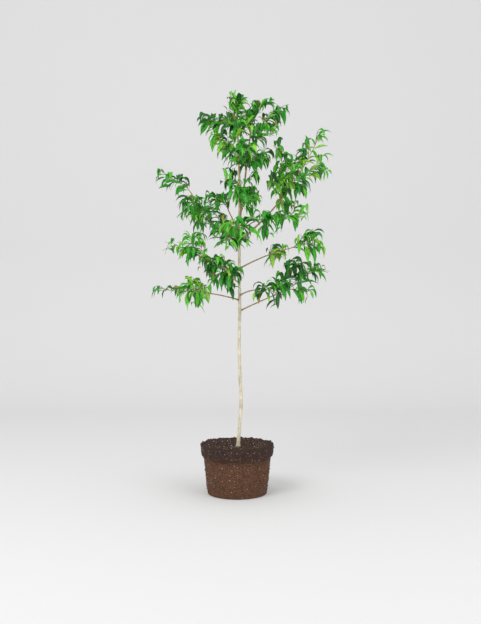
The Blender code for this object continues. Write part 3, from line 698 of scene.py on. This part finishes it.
def barkFinish(name, light, dark, dirt, upper=None, foot=None):
    made = Finish(name, linear(*light), barkLooks["roughness"], barkLooks["shine"])
    clouds = made.patches(*barkLooks["clouds"])
    streaks = made.patches(*barkLooks["streaks"])
    marks = made.patches(*barkLooks["marks"])
    body = made.mix(clouds, linear(*light), linear(*dark))
    streaked = made.mix(streaks * barkLooks["streakStrength"], body, shaded(dark, barkLooks["streakShade"]))
    marked = made.mix(marks * barkLooks["markStrength"], streaked, linear(*dirt))
    if upper:                      # tan leaders above, darker towards the foot below
        marked = made.mix(made.height(*barkLooks["leaderHeights"]), marked, linear(*upper))
        footDarkening = (1 - made.height(*barkLooks["footHeights"])) * barkLooks["footStrength"]
        marked = made.mix(footDarkening, marked, linear(*foot))
    made.feed("Base Color", marked)
    made.feed("Roughness", barkLooks["roughness"] + streaks * barkLooks["streakRoughness"])
    pores = made.grain(*barkLooks["poreGrain"]) * barkLooks["poreRelief"]
    relief = streaks * barkLooks["streakRelief"] + marks + pores
    made.bump(relief, barkLooks["reliefDepth"], barkLooks["reliefStrength"])
    return made


mixLooks = {
    "crumbs": (260.0, 6.0, None, 0.35, 0.7),
    "fibres": (520.0, 4.0, (1.0, 1.0, 0.3), 0.5, 0.72),
    "body": ((60, 38, 29), (120, 82, 60)),    # between the crumbs, and the crumbs
    "band": ((38, 26, 24), (82, 60, 54)),
    "fibre": (146, 106, 78),
    "fibreStrength": 0.35,
    "bandHeights": (0.112, 0.146),    # over which the body gives way to the band
    "roughness": 0.8,
    "crumbRoughness": 0.15,
    "shine": 0.25,
    "reliefGrain": (430.0, 8.0),
    "crumbRelief": 0.5,
    "reliefDepth": 0.0025,
    "reliefStrength": 0.9,
}


def mixFinish():
    # moist potting mix: dark band above, warmer body below
    made = Finish("pottingMix", linear(*mixLooks["fibre"]), mixLooks["roughness"], mixLooks["shine"])
    crumbs = made.patches(*mixLooks["crumbs"])
    fibres = made.patches(*mixLooks["fibres"])
    body, band = (made.mix(crumbs, *[linear(*colour) for colour in mixLooks[part]])
                  for part in ("body", "band"))
    laced = made.mix(fibres * mixLooks["fibreStrength"], body, linear(*mixLooks["fibre"]))
    made.feed("Base Color", made.mix(made.height(*mixLooks["bandHeights"]), laced, band))
    made.feed("Roughness", mixLooks["roughness"] + crumbs * mixLooks["crumbRoughness"])
    relief = made.grain(*mixLooks["reliefGrain"]) + crumbs * mixLooks["crumbRelief"]
    made.bump(relief, mixLooks["reliefDepth"], mixLooks["reliefStrength"])
    return made


chipLooks = {
    "patches": (330.0, 4.0, None, 0.35, 0.65),
    "roughness": 0.88,
    "shine": 0.3,
    "reliefGrain": (900.0, 4.0),
    "reliefDepth": 0.0006,
    "reliefStrength": 0.7,
}


def chipFinish(name, dark, light):
    made = Finish(name, linear(*light), chipLooks["roughness"], chipLooks["shine"])
    made.feed("Base Color", made.mix(made.patches(*chipLooks["patches"]), linear(*dark), linear(*light)))
    made.bump(made.grain(*chipLooks["reliefGrain"]), chipLooks["reliefDepth"], chipLooks["reliefStrength"])
    return made


# Limbs and their seats

limbs = {"trunk": trunkLimb()}
for name in boughPlans:
    limbs[name] = boughLimb(limbs, name)
stems = {name: stemLimb(limbs, name) for name in massPlans}
room = Room(limbs, stems)

barkPlan = {
    "trunkSides": 40,
    "trunkStep": 0.0022,
    "flare": 0.0016,
    "flareHeight": 0.02,
    "flareLobes": 3,
    "boughSides": 18,
    "boughRings": 64,
    "collar": 0.55,                # how much a bough swells where it leaves its carrier
    "collarPlace": 0.004,
    "collarReach": 0.008,
    "ridge": 0.00022,
    "grain": 260.0,
    "grainAround": 0.006,
    "bandsAround": 3,
    "bandsUp": 420,
    "bandWeight": 0.9,
    "bandFrom": 0.25,
    "trunkColours": ((232, 224, 202), (196, 182, 152), (88, 74, 58)),    # light, dark and marks
    "leaderColour": (178, 146, 84),
    "footColour": (190, 178, 150),
    "boughColours": ((176, 154, 110), (136, 114, 76), (74, 58, 42)),
}


def barkRelief(point, way):
    fine = noise.noise((point + way * barkPlan["grainAround"]) * barkPlan["grain"])
    around = barkPlan["bandsAround"]
    band = noise.noise(Vector((way.x * around, way.y * around, point.z * barkPlan["bandsUp"])))
    return barkPlan["ridge"] * (fine + barkPlan["bandWeight"] * max(0.0, band - barkPlan["bandFrom"]))


budPlan = {
    "heights": (0.235, 0.264, 0.293, 0.318, 0.368, 0.412, 0.498, 0.556, 0.596),
    "size": 0.0023,
    "boughSize": 0.72,             # of a bough's bud, against the trunk's
    "shape": ((0, 0.55), (0.4, 0.5), (0.75, 0.3), (1.0, 0.04)),    # place along and half width
    "sides": 9,
    "lean": (0.8, 0.6),            # out from the limb and along it
    "seat": 0.8,                   # against the limb's radius
    "boughSeat": 0.75,
    "front": -90,
    "swing": 62,                   # how far the trunk's buds stray from the front, in degrees
    "swingTurn": 2.3,
    "along": (0.12, 0.95),         # of a bough
    "spacing": 0.026,
    "swelling": 0.00035,
    "swellingReach": 0.006,
    "colours": ((96, 66, 46), (70, 46, 34), (44, 30, 24)),
}


def trunkRelief(point, way):
    bulge = sum(math.exp(-((point.z - height) / budPlan["swellingReach"]) ** 2)
                for height in budPlan["heights"])
    above = (point.z - trunkPlan["course"][0][0]) / barkPlan["flareHeight"]
    lobe = math.sin(barkPlan["flareLobes"] * math.atan2(way.y, way.x)) ** 2
    flare = barkPlan["flare"] * max(0.0, 1 - above) ** 2 * lobe
    return barkRelief(point, way) + budPlan["swelling"] * bulge + flare


def makeTrunk(finish):
    heap = Heap()
    foot, top = trunkPlan["course"][0][0], trunkPlan["course"][-1][0]
    count = round((top - foot) / barkPlan["trunkStep"])
    points, radii = zip(*[courseAt(foot + (top - foot) * ring / count) for ring in range(count + 1)])
    addTube(heap, points, radii, barkPlan["trunkSides"], 0, trunkRelief)
    trunk = heap.piece("trunkBark", [finish])
    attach(trunk, "root")
    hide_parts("trunk")


def makeBoughs(finish):
    rings = barkPlan["boughRings"]
    for name in boughPlans:
        smooth = boughLimb(limbs, name, rings)
        reach = smooth.length()
        radii = []
        for ring, radius in enumerate(smooth.radii):
            away = (reach * ring / rings - barkPlan["collarPlace"]) / barkPlan["collarReach"]
            radii.append(radius * (1 + barkPlan["collar"] * math.exp(-away ** 2)))
        heap = Heap()
        addTube(heap, smooth.points, radii, barkPlan["boughSides"], 0, barkRelief)
        words = name.split("_")
        made = heap.piece(words[0] + "".join(word.title() for word in words[1:]), [finish])
        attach(made, "root")
        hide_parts(name)


def addBud(heap, root, way, axis, size):
    out, along = budPlan["lean"]
    ahead = (way * out + axis * along).normalized() * size
    shape = budPlan["shape"]
    addTube(heap, [root + ahead * share for share, _ in shape], [size * wide for _, wide in shape],
            budPlan["sides"])


def makeBuds(finish):
    # pointed buds up the bare trunk and along the boughs
    heap = Heap()
    size = budPlan["size"]
    for number, height in enumerate(budPlan["heights"]):
        centre, radius = courseAt(height)
        heading = budPlan["front"] + budPlan["swing"] * math.sin(number * budPlan["swingTurn"])
        way = span(heading, 1, 0)
        addBud(heap, centre + way * radius * budPlan["seat"], way, up, size)
    draw = random.Random("buds")
    first, last = budPlan["along"]
    for name in boughPlans:
        limb = limbs[name]
        turn = draw.uniform(0, math.tau)
        for share in np.arange(first, last, budPlan["spacing"] / limb.length()):
            mark = limb.marks[0] + (limb.marks[-1] - limb.marks[0]) * share
            centre, axis, radius = limb.at(mark)
            turn += goldenTurn
            way = outward(axis, turn)
            addBud(heap, centre + way * radius * budPlan["boughSeat"], way, axis,
                   size * budPlan["boughSize"])
    made = heap.piece("buds", [finish])
    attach(made, "root")


makeTrunk(barkFinish("trunkBarkFinish", *barkPlan["trunkColours"],
                     upper=barkPlan["leaderColour"], foot=barkPlan["footColour"]))
makeBoughs(barkFinish("boughBark", *barkPlan["boughColours"]))
makeBuds(barkFinish("budScales", *budPlan["colours"]))
print("trunk and boughs made")


# Leaves and twigs

def addTwig(heap, twig, radius, mark):
    # a twig's own bend on finer rings
    rings = twigPlan["rings"]
    first, last = twig.points[0], twig.points[-1]
    points = arched(first, twig.at(0.5)[0] * 2 - (first + last) * 0.5, last, rings)
    radii = [radius * (1 - twigPlan["taper"] * ring / rings) for ring in range(rings + 1)]
    addTube(heap, points, radii, twigPlan["sides"], mark)


def makeFoliage():
    finishes = [leafFinish(tone, surface) for tone in tones for surface in surfaces]
    twigHeap = Heap()
    heaps = {region: Heap() for region in regions}
    members = {region: [] for region in regions}
    total = 0
    for name, stem in stems.items():
        region = name.split("_")[1]
        members[region].append(name)
        shoots = growShoots(room, name, stem)
        draw = random.Random(name + " fine twigs")
        sprigs = growSprigs(draw, room, name, shoots)
        kinds = [(stem, "stemRadius", 0)]
        kinds += [(shoot, "shootRadius", 1) for shoot in shoots]
        kinds += [(sprig, "sprigRadius", 1) for sprig in sprigs]
        for twig, size, mark in kinds:
            addTwig(twigHeap, twig, twigPlan[size], mark)
            for leaf in growLeaves(draw, room, name, twig):
                addLeaf(heaps[region], leaf)
                total += 1
    twigs = twigHeap.piece("twigs", [barkFinish("twigBark", *twigPlan["stemColours"]),
                                     barkFinish("shootBark", *twigPlan["shootColours"])])
    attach(twigs, "root")
    for region in regions:
        made = heaps[region].piece("leaves" + region.title(), finishes)
        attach(made, "root")
        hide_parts(*members[region])
    print("foliage made:", total, "leaves")


makeFoliage()


# Root ball

ballPlan = {
    "side": ((0.0, 0.104), (0.0022, 0.1068), (0.03, 0.1102), (0.07, 0.1145), (0.1300, 0.1205),
             (0.1345, 0.1235), (0.1400, 0.1290), (0.1620, 0.1312), (0.1740, 0.1320), (0.1790, 0.1300)),
    "top": ((0.1755, 0.1180), (0.1728, 0.0930), (0.1705, 0.0520), (0.1700, 0.0140), (0.1700, 0.0)),
    "sides": 240,
    "rowStep": 0.0016,
    "roughness": ((55, 1.0), (150, 0.7), (420, 0.4)),    # lumps to the metre and their weight
    "sideRelief": 0.0014,
    "topRelief": 0.0034,
    "crestRelief": 0.0060,
    "topFrom": 0.1695,
    "topWithin": 0.130,
    "crestFrom": 0.164,
    "crestRise": 0.014,
    "calmMiddle": 0.03,            # the relief fades out by the trunk and at the foot
    "calmFoot": 0.004,
    "litterReach": 0.127,          # how far out litter lies on the top
    "litterTop": 0.1712,
    "litterDish": 0.004,
    "litterMiddle": 0.02,
    "litterSide": (0.006, 0.176),
}


def ballOutline():
    # evenly spaced places out under the foot, up the side, over the crest and in over the top
    corners = ((0.0, 0.0),) + ballPlan["side"] + ballPlan["top"]
    places = []
    for (lowZ, lowR), (highZ, highR) in zip(corners, corners[1:]):
        count = max(1, round(math.hypot(highZ - lowZ, highR - lowR) / ballPlan["rowStep"]))
        places += [(lowZ + (highZ - lowZ) * part / count, lowR + (highR - lowR) * part / count)
                   for part in range(count)]
    return places[1:]


def sideRadius(height):
    side = ballPlan["side"]
    index = max(row for row in range(len(side) - 1) if side[row][0] <= height)
    (lowZ, lowR), (highZ, highR) = side[index], side[index + 1]
    share = (height - lowZ) / (highZ - lowZ)
    return lowR + (highR - lowR) * share


def ballPoint(height, radius, angle):
    way = Vector((math.cos(angle), math.sin(angle), 0.0))
    spot = way * radius + up * height
    rough = sum(noise.noise(spot * scale) * weight for scale, weight in ballPlan["roughness"])
    if height > ballPlan["topFrom"] and radius < ballPlan["topWithin"]:
        calm = min(1.0, spot.xy.length / ballPlan["calmMiddle"])
        return spot + up * ballPlan["topRelief"] * rough * calm
    crest = min(1.0, max(0.0, (height - ballPlan["crestFrom"]) / ballPlan["crestRise"]))
    calm = min(1.0, height / ballPlan["calmFoot"])
    spot += up * ballPlan["crestRelief"] * rough * crest
    return spot + way * ballPlan["sideRelief"] * rough * calm


def makeBall(finish):
    heap = Heap()
    sides = ballPlan["sides"]
    outline = ballOutline()
    corners = [ballPoint(height, radius, math.tau * side / sides) for height, radius in outline
               for side in range(sides)]
    heap.add(corners, stackFaces(len(outline), sides), 0)
    ball = heap.piece("rootBall", [finish])
    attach(ball, "root")
    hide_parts("root_ball")


def ballSpot(draw, topShare):
    # a random place on the root ball with the direction away from it
    angle = draw.uniform(0, math.tau)
    way = Vector((math.cos(angle), math.sin(angle), 0.0))
    if draw.random() < topShare:
        share = math.sqrt(draw.uniform(ballPlan["litterMiddle"], 1.0))
        height = ballPlan["litterTop"] + ballPlan["litterDish"] * share ** 3
        return way * ballPlan["litterReach"] * share + up * height, up
    height = draw.uniform(*ballPlan["litterSide"])
    return way * sideRadius(height) + up * height, way


lumpPlan = {
    "rings": ((-0.9, 0.35), (-0.35, 0.9), (0.35, 0.95), (0.9, 0.35)),    # height and width
    "sides": 6,
    "spread": (0.75, 1.2),
}


def addLump(heap, draw, centre, size, flat):
    # small irregular stone or chip
    turn = Quaternion((draw.gauss(0, 1), draw.gauss(0, 1), draw.gauss(0, 1)), draw.uniform(0, math.tau))
    rings, sides = lumpPlan["rings"], lumpPlan["sides"]
    corners = []
    for height, wide in rings:
        for side in range(sides):
            angle = math.tau * side / sides
            reach = wide * draw.uniform(*lumpPlan["spread"])
            local = Vector((math.cos(angle) * reach, math.sin(angle) * reach, height * flat))
            corners.append(centre + turn @ (local * size))
    heap.add(corners, stackFaces(len(rings), sides), 0)


def layLitter(heap, name, colours, smooth=False):
    made = heap.piece(name, [chipFinish(name[:-1], *colours)], smooth=smooth)
    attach(made, "root")


chipPlan = {
    "count": 900,
    "onTop": 0.62,                 # share that lies on the top
    "lift": 0.0002,
    "sizes": (0.0012, 0.0040),
    "flatness": (0.35, 0.8),
    "colours": ((46, 32, 26), (104, 78, 60)),
}
grainPlan = {
    "count": 380,
    "onTop": 0.35,
    "lift": 0.0004,
    "sizes": (0.0005, 0.0014),
    "flatness": 0.9,               # the same for every grain
    "colours": ((196, 192, 184), (236, 234, 228)),
}


def makeLumps(draw, name, plan):
    heap = Heap()
    for _ in range(plan["count"]):
        spot, way = ballSpot(draw, plan["onTop"])
        size, flat = draw.uniform(*plan["sizes"]), plan["flatness"]
        if isinstance(flat, tuple):
            flat = draw.uniform(*flat)
        addLump(heap, draw, spot + way * plan["lift"], size, flat)
    layLitter(heap, name, plan["colours"])


rootPlan = {
    "count": 340,
    "onTop": 0.08,
    "lift": 0.0003,
    "steps": (6, 16),
    "fewest": 4,
    "step": 0.0024,
    "lean": 1.2,                   # from straight down at first, in radians
    "wander": 0.45,
    "heights": (0.004, 0.176),
    "radii": (0.00018, 0.00038),
    "taper": 0.6,
    "sides": 6,
    "colours": ((112, 80, 60), (172, 138, 108)),
}


def rootLine(draw):
    # thread that creeps down the side
    spot, _ = ballSpot(draw, rootPlan["onTop"])
    heading = draw.uniform(-rootPlan["lean"], rootPlan["lean"])
    lowest, highest = rootPlan["heights"]
    line = []
    for _ in range(draw.randint(*rootPlan["steps"])):
        heading += draw.uniform(-rootPlan["wander"], rootPlan["wander"])
        height = spot.z - rootPlan["step"] * math.cos(heading)
        if not lowest < height < highest:
            break
        angle = math.atan2(spot.y, spot.x) + rootPlan["step"] * math.sin(heading) / spot.xy.length
        way = Vector((math.cos(angle), math.sin(angle), 0.0))
        radius = sideRadius(height)
        line.append(ballPoint(height, radius, angle) + way * rootPlan["lift"])
        spot = way * radius + up * height
    return line


def makeRoots(draw):
    heap = Heap()
    for _ in range(rootPlan["count"]):
        line = rootLine(draw)
        if len(line) >= rootPlan["fewest"]:
            thick = draw.uniform(*rootPlan["radii"])
            radii = [thick * (1 - rootPlan["taper"] * ring / len(line)) for ring in range(len(line))]
            addTube(heap, line, radii, rootPlan["sides"])
    layLitter(heap, "fineRoots", rootPlan["colours"], smooth=True)


makeBall(mixFinish())
litterDraw = random.Random("root ball litter")
makeLumps(litterDraw, "barkChips", chipPlan)
makeLumps(litterDraw, "whiteGrains", grainPlan)
makeRoots(litterDraw)
print("root ball made")


# Studio

studio = {
    "paperColour": (228, 228, 228),
    "paperSurface": (0.9, 0.1),    # roughness and shine
    "paperFront": -6.0,
    "paperBack": 2.2,              # where the floor starts to curve up
    "paperCurve": 1.2,
    "curveStart": 0.1,             # in radians
    "curveSteps": 14,
    "paperTop": 7.0,
    "paperHalfWidth": 7.0,
    "lamps": (                     # name, place, power and size
        ("key", (-1.9, -2.4, 3.0), 52.0, 1.8),
        ("fill", (2.4, -2.2, 1.8), 22.0, 2.2),
    ),
    "lampAim": (0, 0, 0.75),
    "worldStrength": 0.86,
    "distance": 2.70,
    "sideways": 0.0119,
    "height": 0.6533,
    "lens": 43.04,
}


def makePaper():
    heap = Heap()
    back, curve, half = studio["paperBack"], studio["paperCurve"], studio["paperHalfWidth"]
    outline = [(studio["paperFront"], 0.0), (back, 0.0)]
    outline += [(back + math.sin(turn) * curve, curve - math.cos(turn) * curve)
                for turn in np.linspace(studio["curveStart"], math.pi / 2, studio["curveSteps"])]
    outline += [(back + curve, studio["paperTop"])]
    corners = [Vector((side, depth, height)) for depth, height in outline for side in (-half, half)]
    faces = [(row * 2, row * 2 + 1, row * 2 + 3, row * 2 + 2) for row in range(len(outline) - 1)]
    heap.add(corners, faces, 0)
    paper = Finish("studioPaper", linear(*studio["paperColour"]), *studio["paperSurface"])
    floor = heap.piece("studioFloor", [paper])


def makeLamps():
    for name, place, power, size in studio["lamps"]:
        lamp = bpy.data.lights.new(name, "AREA")
        lamp.energy = power
        lamp.size = size
        made = bpy.data.objects.new(name, lamp)
        made.location = place
        aim = Vector(studio["lampAim"]) - Vector(place)
        made.rotation_euler = aim.to_track_quat("-Z", "Y").to_euler()
        bpy.context.scene.collection.objects.link(made)
    world = bpy.data.worlds.new("studio")
    world.use_nodes = True
    sky = world.node_tree.nodes["Background"]
    sky.inputs["Color"].default_value = (1.0, 1.0, 1.0, 1.0)
    sky.inputs["Strength"].default_value = studio["worldStrength"]
    bpy.context.scene.world = world


def makeCamera():
    camera = bpy.data.objects.new("camera", bpy.data.cameras.new("camera"))
    camera.data.lens = studio["lens"]
    camera.location = (studio["sideways"], -studio["distance"], studio["height"])
    camera.rotation_euler = (math.pi / 2, 0.0, 0.0)
    bpy.context.scene.collection.objects.link(camera)
    bpy.context.scene.camera = camera
    bpy.context.scene.view_settings.view_transform = "Standard"


makePaper()
makeLamps()
makeCamera()
print("studio made")
